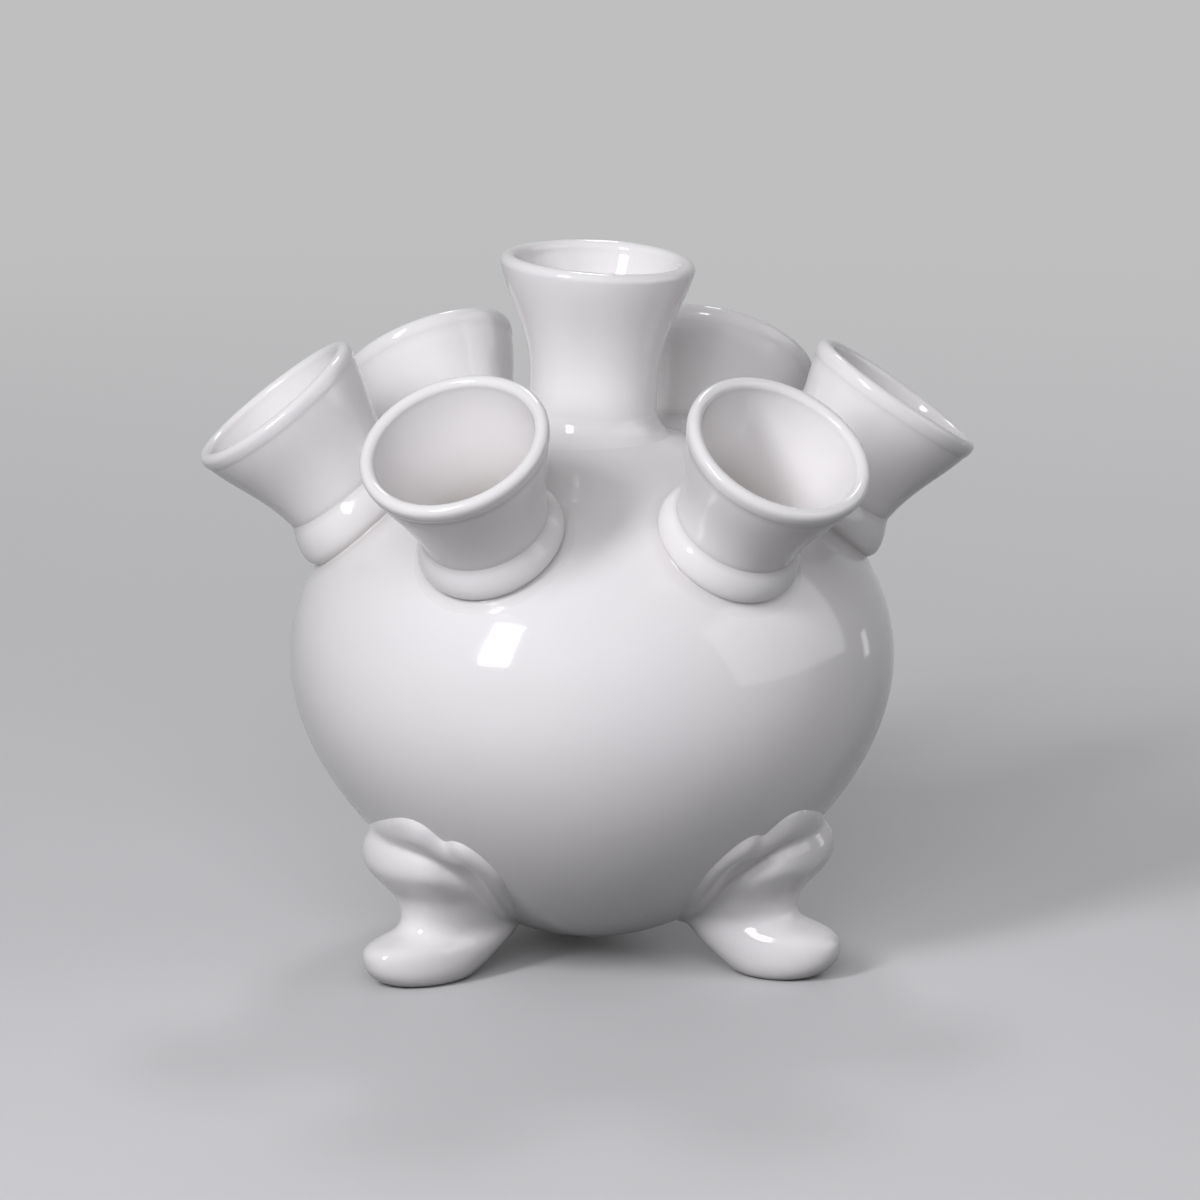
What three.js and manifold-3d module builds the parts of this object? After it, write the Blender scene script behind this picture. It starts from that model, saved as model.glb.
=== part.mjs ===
// Tulip vase: a hollow globe on three scrolled feet, with seven trumpet spouts.
// Millimetres, +Z up. The origin is on the globe's axis, at the level of the soles,
// and the front of the vase faces -Y. A bearing is an angle round the axis from the
// front, positive towards +X.

import * as THREE from 'three';
import { mergeVertices } from 'three/addons/utils/BufferGeometryUtils.js';
import Module from 'manifold-3d';

const wasm = await Module();
wasm.setup();

// Globe: an egg curve swept round the axis
const GLOBE_RADIUS = 66.5;
const GLOBE_HALF_HEIGHT = 57.4;
const GLOBE_MIDDLE = 61.7;
const GLOBE_SWELL = 0.136;
const GLOBE_TAPER = -0.115;
const GLOBE_WALL = 3.6;
const GLOBE_SEGMENTS = 48;
const GLOBE_ROWS = 18;
const HOLLOW_SEGMENTS = 24;
const HOLLOW_ROWS = 10;

// Joint between two luted pieces, filled by glaze on the real vase
const JOINT = 0.3;

// Trumpet spout: distances along it are measured down from the centre of the lip
const LIP_ROUND = 1.55;
const MOUTH_RADIUS = 19.15;
const CENTER_MOUTH_RADIUS = 19.95;
const SPOUT_WALL = 3.1;
const NECK_RADIUS = 14.1;
const NECK_AT = 24.7;
const TAIL_END = 46;
const FLARE_LOW_OUT = 0.6;
const FLARE_LOW_AT = 14.4;
const FLARE_HIGH_OUT = 0.05;
const FLARE_HIGH_AT = 8.4;
const SPOUT_SEGMENTS = 24;
const FLARE_STEPS = 5;
const LIP_STEPS = 4;

// Ring of leaning spouts, each set by hand: bearing and lean in degrees, and the
// distance of the lip's centre from the axis and from the floor
const LEANING_SPOUTS = [
  { place: 'front_left', bearing: -30, lean: 36, reach: 65.4, height: 126 },
  { place: 'front_right', bearing: 32, lean: 37.8, reach: 67.9, height: 124.3 },
  { place: 'left', bearing: -89.5, lean: 37.8, reach: 69.2, height: 125.2 },
  { place: 'right', bearing: 89.5, lean: 35.2, reach: 67.5, height: 124.7 },
  { place: 'back_left', bearing: -150, lean: 37.4, reach: 67.5, height: 124.9 },
  { place: 'back_right', bearing: 149.5, lean: 36, reach: 68.8, height: 125.1 },
];

// Upright spout on top of the dome
const CENTER_LIP_HEIGHT = 155.75;
const CENTER_LEAN = 2.2;
const CENTER_OFFSET = 1.7;
const CENTER_FLARE_START = 31.2;
const CENTER_FLARE_RADIUS = 21;
const CENTER_FLARE_AT = 37.6;
const CENTER_FLARE_LIFT = 0.6;

// Luting collar round a leaning neck: it starts almost flush with the neck and widens to
// a belly that runs down into the globe
const COLLAR_TOP = 23.6;
const COLLAR_SHOULDER_RADIUS = 15.3;
const COLLAR_SHOULDER_AT = 26.7;
const COLLAR_BELLY_RADIUS = 16.2;
const COLLAR_BELLY_AT = 32.2;
const COLLAR_FOOT_RADIUS = 15.9;
const COLLAR_FOOT_AT = 38;
const COLLAR_STEPS = 3;

// Feet: level outlines from the sole up, as [height, front, back, half width]. Each
// was bent a little by hand: how far its ankle droops, its heel reaches inwards and its
// toe outwards, and which side of it, 1 for the right and -1 for the left when seen from
// outside, has the taller half of the leaf
const FEET = [
  { place: 'left', bearing: -60, droop: 2.3, heel: 1.6, toe: 0, tall: 1 },
  { place: 'right', bearing: 59, droop: 1.1, heel: -0.8, toe: 0.9, tall: -1 },
  { place: 'back', bearing: 180, droop: 1, heel: 0, toe: 0.4, tall: 1 },
];
const FOOT_LEVELS = [
  [0, 52, 37.6, 6],
  [0.8, 55.7, 34.8, 7.8],
  [3.4, 58.8, 31, 9.2],
  [6.8, 59.8, 26.5, 9.6],
  [9.8, 59.2, 24, 9.4],
  [11.6, 57.6, 22.8, 9],
  [12.8, 54.2, 22.2, 8.7],
  [13.8, 51, 22, 8.6],
  [15.6, 49.5, 22.2, 9.6],
  [19, 50.6, 25, 11.8],
  [23.4, 53.2, 33, 13.9],
  [27.5, 55.9, 42.5, 14.5],
  [31, 56, 46.2, 12.9],
  [34.5, 54.3, 46.7, 9.4],
  [37, 52.9, 47.6, 4.8],
];
const FOOT_LEVEL_STEPS = 17;
const ANKLE_HEIGHT = 12;
const ANKLE_SPREAD = 4;
const TOE_HEIGHT = 8;
const TOE_SPREAD = 5;
const FOOT_ROUNDNESS = 2.15;
const FOOT_SIDES = 18;

// Leaf round the top of a foot, drawn on the globe as [bearing from the foot, latitude]
// in degrees: its tall half and its low half, both from the top down to the tip
const LEAF_TOP = [0, -24.9];
const LEAF_TALL_HALF = [
  [9.5, -21.9],
  [14, -21.6],
  [17, -22.9],
  [20.1, -26.8],
  [22.6, -25.7],
  [25.8, -26.6],
  [28.6, -29.6],
  [30.6, -34],
  [31, -38.6],
  [29.4, -44.6],
  [26, -50.5],
  [18, -59],
];
const LEAF_LOW_HALF = [
  [8, -27.8],
  [14, -29.8],
  [19, -33.8],
  [22.5, -32.6],
  [26.5, -34],
  [29.6, -38.6],
  [28.6, -46],
  [25, -52],
  [18, -59.5],
];
const LEAF_TIP = [0, -66];
const LEAF_CENTRE = -42;
const LEAF_THICKNESS = 1.3;
const LEAF_SLOPE = 0.7;
const LEAF_EDGE = 0.25;
const LEAF_ROOT = -2;
const LEAF_HUB = 0.05;
const LEAF_CROWN = 0.45;
const LEAF_RIM = 0.8;

// Glaze over white earthenware
const GLAZE = { color: 0xf1f0ee, roughness: 0.12, metalness: 0 };

const DEGREE = Math.PI / 180;

// Geometry to solid and back

function toSolid(source) {
  const geometry = source.clone();
  geometry.deleteAttribute('normal');
  geometry.deleteAttribute('uv');
  const merged = mergeVertices(geometry, 1e-4);
  const corners = merged.index.array;
  const triangles = [];
  for (let i = 0; i < corners.length; i += 3) {
    const [a, b, c] = [corners[i], corners[i + 1], corners[i + 2]];
    if (a !== b && b !== c && c !== a) {
      triangles.push(a, b, c);
    }
  }
  return new wasm.Manifold(
    new wasm.Mesh({
      numProp: 3,
      vertProperties: new Float32Array(merged.attributes.position.array),
      triVerts: new Uint32Array(triangles),
    }),
  );
}

function toGeometry(solid) {
  const mesh = solid.getMesh();
  const geometry = new THREE.BufferGeometry();
  geometry.setAttribute('position', new THREE.BufferAttribute(mesh.vertProperties, 3));
  geometry.setIndex(new THREE.BufferAttribute(mesh.triVerts, 1));
  geometry.computeVertexNormals();
  return geometry;
}

// Revolve an outline of (radius, height) points about the Z axis

function revolve(outline, segments) {
  const geometry = new THREE.LatheGeometry(outline, segments);
  geometry.rotateX(Math.PI / 2);
  return geometry;
}

// Skin a row of rings that have the same number of points, and close both ends

function skin(rings) {
  const sides = rings[0].length;
  const points = rings.flat();
  const triangles = [];
  for (let row = 0; row + 1 < rings.length; row += 1) {
    for (let side = 0; side < sides; side += 1) {
      const next = (side + 1) % sides;
      const [a, b] = [row * sides + side, row * sides + next];
      const [c, d] = [a + sides, b + sides];
      triangles.push(a, b, d, a, d, c);
    }
  }
  for (const [ring, flip] of [[0, true], [rings.length - 1, false]]) {
    const centre = new THREE.Vector3();
    rings[ring].forEach((point) => centre.add(point));
    points.push(centre.divideScalar(sides));
    const hub = points.length - 1;
    for (let side = 0; side < sides; side += 1) {
      const here = ring * sides + side;
      const next = ring * sides + ((side + 1) % sides);
      triangles.push(...(flip ? [hub, next, here] : [hub, here, next]));
    }
  }
  const geometry = new THREE.BufferGeometry().setFromPoints(points);
  geometry.setIndex(triangles);
  return geometry;
}

// Globe

function globePoint(latitude, offset = 0) {
  const s = Math.sin(latitude);
  const c = Math.cos(latitude);
  const shape = 1 + GLOBE_SWELL * s + GLOBE_TAPER * s * s;
  const rise = GLOBE_HALF_HEIGHT * c;
  const spread = GLOBE_RADIUS * (c * c * (GLOBE_SWELL + 2 * GLOBE_TAPER * s) - s * shape);
  const slope = Math.hypot(rise, spread);
  return new THREE.Vector2(
    GLOBE_RADIUS * c * shape + (offset * rise) / slope,
    GLOBE_MIDDLE + GLOBE_HALF_HEIGHT * s - (offset * spread) / slope,
  );
}

function globeGeometry(offset, segments, rows) {
  const outline = [];
  for (let row = 0; row <= rows; row += 1) {
    outline.push(globePoint(Math.PI * (row / rows - 0.5), offset));
  }
  outline[0].x = 0;
  outline[rows].x = 0;
  return revolve(outline, segments);
}

const globeOutside = globeGeometry(0, GLOBE_SEGMENTS, GLOBE_ROWS);
const globeSeat = globeGeometry(JOINT, GLOBE_SEGMENTS, GLOBE_ROWS);
const globeInside = globeGeometry(-GLOBE_WALL, HOLLOW_SEGMENTS, HOLLOW_ROWS);

function insideFrameOf(holder, geometry) {
  holder.updateMatrix();
  return toSolid(geometry.clone().applyMatrix4(holder.matrix.clone().invert()));
}

function bodyGeometry(holders) {
  let body = toSolid(globeOutside).subtract(toSolid(globeInside));
  for (const holder of holders) {
    const drill = new THREE.CylinderGeometry(
      NECK_RADIUS + JOINT,
      NECK_RADIUS + JOINT,
      TAIL_END,
      SPOUT_SEGMENTS,
    );
    drill.rotateX(Math.PI / 2);
    drill.translate(0, 0, -TAIL_END);
    holder.updateMatrix();
    body = body.subtract(toSolid(drill.applyMatrix4(holder.matrix)));
  }
  return toGeometry(body);
}

// Spouts

function trumpetOutline(mouthRadius, root) {
  const lipOuter = mouthRadius + LIP_ROUND;
  const flare = new THREE.CubicBezierCurve(
    new THREE.Vector2(NECK_RADIUS, -NECK_AT),
    new THREE.Vector2(NECK_RADIUS + FLARE_LOW_OUT, -FLARE_LOW_AT),
    new THREE.Vector2(mouthRadius + FLARE_HIGH_OUT, -FLARE_HIGH_AT),
    new THREE.Vector2(lipOuter, -LIP_ROUND / 2),
  );
  const outside = flare.getPoints(FLARE_STEPS);
  const lip = [];
  for (let step = 1; step < LIP_STEPS; step += 1) {
    const turn = (Math.PI * step) / LIP_STEPS;
    lip.push(
      new THREE.Vector2(
        mouthRadius + LIP_ROUND * Math.cos(turn),
        LIP_ROUND * Math.sin(turn),
      ),
    );
  }
  const inside = outside
    .filter((point, step) => step % 2 === 0)
    .reverse()
    .map((point) => new THREE.Vector2(point.x - SPOUT_WALL, point.y));
  const bore = NECK_RADIUS - SPOUT_WALL;
  return [
    new THREE.Vector2(bore, -TAIL_END),
    ...root,
    ...outside,
    ...lip,
    new THREE.Vector2(mouthRadius - LIP_ROUND, -LIP_ROUND / 2),
    ...inside,
    new THREE.Vector2(bore, -TAIL_END),
  ];
}

function leaningSpoutGeometry(holder) {
  const root = [new THREE.Vector2(NECK_RADIUS, -TAIL_END)];
  const trumpet = toSolid(revolve(trumpetOutline(MOUTH_RADIUS, root), SPOUT_SEGMENTS));
  return toGeometry(trumpet.subtract(insideFrameOf(holder, globeInside)));
}

// The upright neck opens into a skirt that lies on the dome; its tail goes through

function centerSpoutGeometry(holder) {
  const skirt = new THREE.QuadraticBezierCurve(
    new THREE.Vector2(CENTER_FLARE_RADIUS, -CENTER_FLARE_AT),
    new THREE.Vector2(NECK_RADIUS, -CENTER_FLARE_AT + CENTER_FLARE_LIFT),
    new THREE.Vector2(NECK_RADIUS, -CENTER_FLARE_START),
  );
  const outline = [
    new THREE.Vector2(NECK_RADIUS, -TAIL_END),
    new THREE.Vector2(CENTER_FLARE_RADIUS, -TAIL_END),
    ...skirt.getPoints(FLARE_STEPS),
  ];
  const trumpet = toSolid(revolve(trumpetOutline(CENTER_MOUTH_RADIUS, outline), SPOUT_SEGMENTS));
  const tail = new THREE.CylinderGeometry(NECK_RADIUS, NECK_RADIUS, TAIL_END, SPOUT_SEGMENTS);
  tail.rotateX(Math.PI / 2);
  tail.translate(0, 0, -TAIL_END);
  const seat = insideFrameOf(holder, globeSeat).subtract(toSolid(tail));
  return toGeometry(trumpet.subtract(seat).subtract(insideFrameOf(holder, globeInside)));
}

function collarGeometry(holder) {
  const bore = NECK_RADIUS + JOINT;
  const belly = new THREE.CubicBezierCurve(
    new THREE.Vector2(COLLAR_FOOT_RADIUS, -COLLAR_FOOT_AT),
    new THREE.Vector2(COLLAR_BELLY_RADIUS, -COLLAR_BELLY_AT),
    new THREE.Vector2(COLLAR_SHOULDER_RADIUS, -COLLAR_SHOULDER_AT),
    new THREE.Vector2(bore, -COLLAR_TOP),
  );
  const outline = [new THREE.Vector2(bore, -COLLAR_FOOT_AT), ...belly.getPoints(COLLAR_STEPS)];
  outline.push(outline[0].clone());
  const ring = toSolid(revolve(outline, SPOUT_SEGMENTS));
  return toGeometry(ring.subtract(insideFrameOf(holder, globeSeat)));
}

// Feet

function bump(height, middle, spread) {
  return Math.exp(-(((height - middle) / spread) ** 2));
}

function footLegGeometry({ droop, heel, toe }) {
  const levels = FOOT_LEVELS.map(([height, front, back, width]) => {
    const sunk = droop * (height / ANKLE_HEIGHT) * bump(height, ANKLE_HEIGHT, ANKLE_SPREAD);
    const longer = toe * bump(height, TOE_HEIGHT, TOE_SPREAD);
    return [height - sunk, front + longer, back - heel, width];
  });
  const through = (column) =>
    new THREE.SplineCurve(levels.map((level) => new THREE.Vector2(level[0], level[column])));
  const [fronts, backs, widths] = [1, 2, 3].map(through);
  const round = (value) => Math.sign(value) * Math.abs(value) ** (2 / FOOT_ROUNDNESS);
  const rings = [];
  for (let step = 0; step <= FOOT_LEVEL_STEPS; step += 1) {
    const { x: height, y: front } = fronts.getPoint(step / FOOT_LEVEL_STEPS);
    const back = backs.getPoint(step / FOOT_LEVEL_STEPS).y;
    const width = widths.getPoint(step / FOOT_LEVEL_STEPS).y;
    const ring = [];
    for (let side = 0; side < FOOT_SIDES; side += 1) {
      const turn = (2 * Math.PI * side) / FOOT_SIDES;
      const depth = (front + back) / 2 + ((front - back) / 2) * round(Math.sin(turn));
      ring.push(new THREE.Vector3(width * round(Math.cos(turn)), -depth, height));
    }
    rings.push(ring.reverse());
  }
  return skin(rings);
}

function leafGeometry(tall) {
  const [right, left] = tall > 0
    ? [LEAF_TALL_HALF, LEAF_LOW_HALF]
    : [LEAF_LOW_HALF, LEAF_TALL_HALF];
  const mirrored = left.map(([x, y]) => [-x, y]).reverse();
  const outline = [LEAF_TOP, ...right, LEAF_TIP, ...mirrored];
  const ringAt = (share, offset) =>
    outline.map(([x, y]) => {
      const bearing = x * share * DEGREE;
      const latitude = (LEAF_CENTRE + (y - LEAF_CENTRE) * share) * DEGREE;
      const place = globePoint(latitude, offset);
      return new THREE.Vector3(
        place.x * Math.sin(bearing),
        -place.x * Math.cos(bearing),
        place.y,
      );
    });
  return skin([
    ringAt(LEAF_HUB, JOINT + LEAF_THICKNESS),
    ringAt(LEAF_CROWN, JOINT + LEAF_THICKNESS),
    ringAt(LEAF_RIM, JOINT + LEAF_SLOPE),
    ringAt(1, JOINT + LEAF_EDGE),
    ringAt(1, LEAF_ROOT),
    ringAt(LEAF_HUB, LEAF_ROOT),
  ]);
}

function footGeometry(foot) {
  const solid = toSolid(footLegGeometry(foot)).add(toSolid(leafGeometry(foot.tall)));
  return toGeometry(solid.subtract(toSolid(globeSeat)));
}

// Assembly

function glazed(name, geometry) {
  const mesh = new THREE.Mesh(geometry, new THREE.MeshStandardMaterial(GLAZE));
  mesh.name = name;
  return mesh;
}

function placed(object, bearing, lean, reach, height) {
  object.rotation.set(lean * DEGREE, 0, bearing * DEGREE, 'ZYX');
  object.position.set(
    reach * Math.sin(bearing * DEGREE),
    -reach * Math.cos(bearing * DEGREE),
    height,
  );
  return object;
}

const vase = new THREE.Group();
const holders = [];
for (const { place, bearing, lean, reach, height } of LEANING_SPOUTS) {
  const holder = placed(new THREE.Group(), bearing, lean, reach, height);
  holder.add(glazed(`spout_${place}`, leaningSpoutGeometry(holder)));
  holder.add(glazed(`collar_${place}`, collarGeometry(holder)));
  holders.push(holder);
}
const centerHolder = placed(new THREE.Group(), 90, CENTER_LEAN, CENTER_OFFSET, CENTER_LIP_HEIGHT);
centerHolder.add(glazed('spout_center', centerSpoutGeometry(centerHolder)));
holders.push(centerHolder);
vase.add(...holders);
vase.add(glazed('body', bodyGeometry(holders)));
for (const foot of FEET) {
  vase.add(placed(glazed(`foot_${foot.place}`, footGeometry(foot)), foot.bearing, 0, 0, 0));
}

export default vase;
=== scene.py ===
# %% [markdown]
# # A white tulip vase
# This vase is a hollow globe with a ring of trumpet spouts round an upright one, all
# standing on scrolled feet. A potter casts or throws each piece alone and lutes it to
# the globe with slip: wet clay that works as glue. One thick white glaze then runs over
# everything. The lesson keeps that order: globe, spouts, the collars of slip round
# their roots, the feet with their leaves, and the glaze last. The sizes are those of
# the measured solids, which come in as the frame.

import math

import bmesh
import bpy
from mathutils import Matrix, Vector


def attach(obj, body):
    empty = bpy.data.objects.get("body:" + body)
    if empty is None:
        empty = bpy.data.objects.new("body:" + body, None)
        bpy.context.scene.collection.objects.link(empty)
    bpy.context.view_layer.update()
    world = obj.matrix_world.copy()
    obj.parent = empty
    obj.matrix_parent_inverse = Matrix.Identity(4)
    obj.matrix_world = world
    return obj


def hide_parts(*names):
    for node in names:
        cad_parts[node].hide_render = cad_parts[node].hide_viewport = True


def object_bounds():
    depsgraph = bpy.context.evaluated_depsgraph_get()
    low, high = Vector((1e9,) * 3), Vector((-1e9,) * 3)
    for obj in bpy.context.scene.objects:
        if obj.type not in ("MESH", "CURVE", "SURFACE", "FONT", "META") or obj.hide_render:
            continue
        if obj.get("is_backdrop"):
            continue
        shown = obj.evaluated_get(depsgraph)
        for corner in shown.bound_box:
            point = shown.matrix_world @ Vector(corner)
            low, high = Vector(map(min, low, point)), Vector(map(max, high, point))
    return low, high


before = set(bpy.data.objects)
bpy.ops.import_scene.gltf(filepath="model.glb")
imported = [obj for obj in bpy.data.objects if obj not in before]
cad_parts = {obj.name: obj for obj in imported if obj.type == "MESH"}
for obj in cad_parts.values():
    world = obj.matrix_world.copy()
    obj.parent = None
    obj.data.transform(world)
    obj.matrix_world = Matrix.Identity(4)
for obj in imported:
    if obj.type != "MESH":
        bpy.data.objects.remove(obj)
cad_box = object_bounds()
MM = 0.001
print("frame:", len(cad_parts), "solids, box", [round(c / MM) for c in cad_box[1]], "mm")

# %% [markdown]
# ## Camera
# The view was found by fitting the mouths, the globe's outline and the feet at once. It
# is a long lens from almost a metre and a half away, a little to the left and a little
# above, so the mouths show as narrow ellipses. A matrix is built from three directions,
# because that also carries the very small roll of the picture.

# %% Set the camera
FRAME_PIXELS = 1200
LENS_PIXELS = 6429.2
LOOK_AT = Vector((2.005, 2.700, 79.278)) * MM
DISTANCE = 1427 * MM
VIEW_AZIMUTH = -3.90
VIEW_ELEVATION = 12.31
VIEW_ROLL = -0.24


def direction(azimuth, elevation):
    """From the vase outwards: azimuth 0 is the front, and positive turns to the right."""
    turn, rise = math.radians(azimuth), math.radians(elevation)
    flat = math.cos(rise)
    return Vector((math.sin(turn) * flat, -math.cos(turn) * flat, math.sin(rise)))


back = direction(VIEW_AZIMUTH, VIEW_ELEVATION)
level = Vector((-back.y, back.x, 0)).normalized()
across = Matrix.Rotation(math.radians(VIEW_ROLL), 3, back) @ level
upward = back.cross(across)
eye = bpy.data.cameras.new("eye")
eye.lens = LENS_PIXELS / FRAME_PIXELS * eye.sensor_width
camera = bpy.data.objects.new("eye", eye)
camera.matrix_world = Matrix.Translation(LOOK_AT + DISTANCE * back) @ Matrix(
    (across, upward, back)
).transposed().to_4x4()
bpy.context.scene.collection.objects.link(camera)
bpy.context.scene.camera = camera
print("lens", round(eye.lens, 1), "mm")

# %% [markdown]
# ## Node sums
# A shader is a sum over the surface. It could be wired by hand, node after node, but
# then nobody can read it. Here a `Wire` stands for one socket, and Python's own signs
# add the Math nodes, so `1 - mask` means what it says. `Bench.node` makes every other
# node: settings first, because they can change the sockets, and then values and links.


# %% Define the node helpers
class Wire:
    """A number that runs through the shader."""

    def __init__(self, bench, socket):
        self.bench = bench
        self.socket = socket

    def sum(self, operation, *values):
        made = self.bench.node(
            "ShaderNodeMath", {"operation": operation}, dict(enumerate(values))
        )
        return Wire(self.bench, made.outputs[0])

    def __add__(self, other):
        return self.sum("ADD", self, other)

    def __radd__(self, other):
        return self.sum("ADD", other, self)

    def __sub__(self, other):
        return self.sum("SUBTRACT", self, other)

    def __rsub__(self, other):
        return self.sum("SUBTRACT", other, self)

    def __mul__(self, other):
        return self.sum("MULTIPLY", self, other)

    def __rmul__(self, other):
        return self.sum("MULTIPLY", other, self)

    def ramp(self, low, high):
        """0 below low, 1 above high, and an even slope between."""
        made = self.bench.node(
            "ShaderNodeMapRange",
            {"clamp": True},
            {"Value": self, "From Min": low, "From Max": high},
        )
        return Wire(self.bench, made.outputs["Result"])


class Bench:
    """A node tree that pieces of shader are laid out on."""

    def __init__(self, owner):
        owner.use_nodes = True
        self.tree = owner.node_tree
        self.tree.nodes.clear()

    def node(self, kind, settings=None, values=None):
        made = self.tree.nodes.new(kind)
        for name, setting in (settings or {}).items():
            setattr(made, name, setting)
        for name, value in (values or {}).items():
            if isinstance(value, Wire):
                self.tree.links.new(value.socket, made.inputs[name])
            else:
                made.inputs[name].default_value = value
        return made

    def wire(self, kind, settings=None, values=None, output=0):
        return Wire(self, self.node(kind, settings, values).outputs[output])

    def blend(self, share, first, second):
        """A colour between two, by share."""
        return self.wire(
            "ShaderNodeMix",
            {"data_type": "RGBA"},
            {"Factor": share, "A": first, "B": second},
            output="Result",
        )


# %% [markdown]
# ## Room and light
# Glaze is a mirror over white clay, so the lights are also seen in it. One is a tall
# box like a window at the upper left: its place was worked out backwards from the bright
# patch on the globe, as a mirror would send it. The broad pale patch on the right gives
# the second box in the same way. A front box and a back box only soften the shadows, and
# they are kept out of the mirror, since the real glaze doesn't show them. Two cards work
# the other way round: they only shine in the glaze. A small window high behind the vase
# puts a spark on the dome. Only such mirrored sparks clip, and never the white itself.
#
# The floor is pale to the eye and in the glaze. Its bounced light is weaker, so the
# underside of the globe keeps its shade, and far away it fades into an even tone. The
# Light Path node tells the two kinds of ray apart.

# %% Build the floor
FLOOR_COLOUR = (0.66, 0.66, 0.665, 1)
FLOOR_GRAIN = (0.69, 0.69, 0.695, 1)
FLOOR_BOUNCE = (0.07, 0.07, 0.071, 1)
FAR_TONE = (0.52, 0.52, 0.525, 1)
FLOOR_HALF_SIZE = 4
FADE_FROM = 0.12
FADE_TO = 1.0


def seen_directly(bench):
    """1 on rays that show the stage: straight to the lens, mirrored or through glass."""
    rays = [
        bench.wire("ShaderNodeLightPath", output=f"Is {kind} Ray")
        for kind in ("Camera", "Glossy", "Transmission")
    ]
    return (rays[0] + rays[1] + rays[2]).ramp(0, 1)


floor_bm = bmesh.new()
bmesh.ops.create_grid(floor_bm, x_segments=8, y_segments=8, size=FLOOR_HALF_SIZE)
floor_mesh = bpy.data.meshes.new("floor")
floor_bm.to_mesh(floor_mesh)
floor_bm.free()
floor = bpy.data.objects.new("floor", floor_mesh)
bpy.context.scene.collection.objects.link(floor)
floor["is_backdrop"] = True
floor_paint = bpy.data.materials.new("floor_paint")
bench = Bench(floor_paint)
place = bench.wire("ShaderNodeTexCoord", output="Object")
grain = bench.wire("ShaderNodeTexNoise", None, {"Vector": place, "Scale": 6.0, "Detail": 3.0})
shown = seen_directly(bench)
colour = bench.blend(shown, FLOOR_BOUNCE, bench.blend(grain, FLOOR_COLOUR, FLOOR_GRAIN))
paint = bench.wire("ShaderNodeBsdfPrincipled", None, {"Base Color": colour, "Roughness": 0.6})
tone = bench.wire("ShaderNodeEmission", None, {"Color": FAR_TONE, "Strength": 1.0})
away = bench.wire("ShaderNodeVectorMath", {"operation": "LENGTH"}, {0: place}, output="Value")
faded = away.ramp(FADE_FROM, FADE_TO) * shown
surface = bench.wire("ShaderNodeMixShader", None, {0: faded, 1: paint, 2: tone})
bench.node("ShaderNodeOutputMaterial", None, {"Surface": surface})
floor_mesh.materials.append(floor_paint)
print("floor ready")

# %% Hang the lights
GLOBE_CENTRE = Vector((0, 0, 0.07))
DAYLIGHT = (0.965, 0.965, 1.0)
# Azimuth and elevation in degrees, distance, width and height in metres, and power.
LAMPS = {
    "window_box": (-42, 31, 1.3, 0.24, 0.54, 9.5),
    "front_box": (-8, 29, 1.5, 0.9, 0.7, 9.9),
    "right_box": (79, 22, 1.4, 1.55, 1.0, 3.4),
    "right_card": (79, 22, 1.39, 1.55, 1.0, 2.4),
    "back_box": (165, 18, 1.5, 1.2, 0.9, 5.2),
    "back_window": (172, 57, 1.3, 0.2, 0.3, 2.2),
    "rim_card": (118, -1, 0.6, 0.045, 0.08, 0.02),
}
NOT_MIRRORED = ("front_box", "back_box")
ONLY_MIRRORED = ("right_card", "rim_card")


def hang_lamp(name, azimuth, elevation, distance, width, height, power):
    lamp = bpy.data.lights.new(name, "AREA")
    lamp.shape = "RECTANGLE"
    lamp.size, lamp.size_y, lamp.energy = width, height, power
    lamp.color = DAYLIGHT
    box = bpy.data.objects.new(name, lamp)
    away = direction(azimuth, elevation)
    box.location = GLOBE_CENTRE + distance * away
    box.rotation_euler = away.to_track_quat("Z", "Y").to_euler()
    box.visible_camera = False
    box.visible_glossy = name not in NOT_MIRRORED
    box.visible_diffuse = name not in ONLY_MIRRORED
    bpy.context.scene.collection.objects.link(box)


for name, row in LAMPS.items():
    hang_lamp(name, *row)
print("lamps:", ", ".join(LAMPS))

# %% Fill the room
AIR_STRENGTH = 0.035

room = bpy.data.worlds.new("room")
bpy.context.scene.world = room
bench = Bench(room)
air = bench.wire(
    "ShaderNodeBackground", None, {"Color": (*DAYLIGHT, 1), "Strength": AIR_STRENGTH}
)
wall = bench.wire("ShaderNodeBackground", None, {"Color": FAR_TONE, "Strength": 1.0})
sky = bench.wire("ShaderNodeMixShader", None, {0: seen_directly(bench), 1: air, 2: wall})
bench.node("ShaderNodeOutputWorld", None, {"Surface": sky})
bpy.context.scene.view_settings.view_transform = "Standard"
print("room ready")
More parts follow.
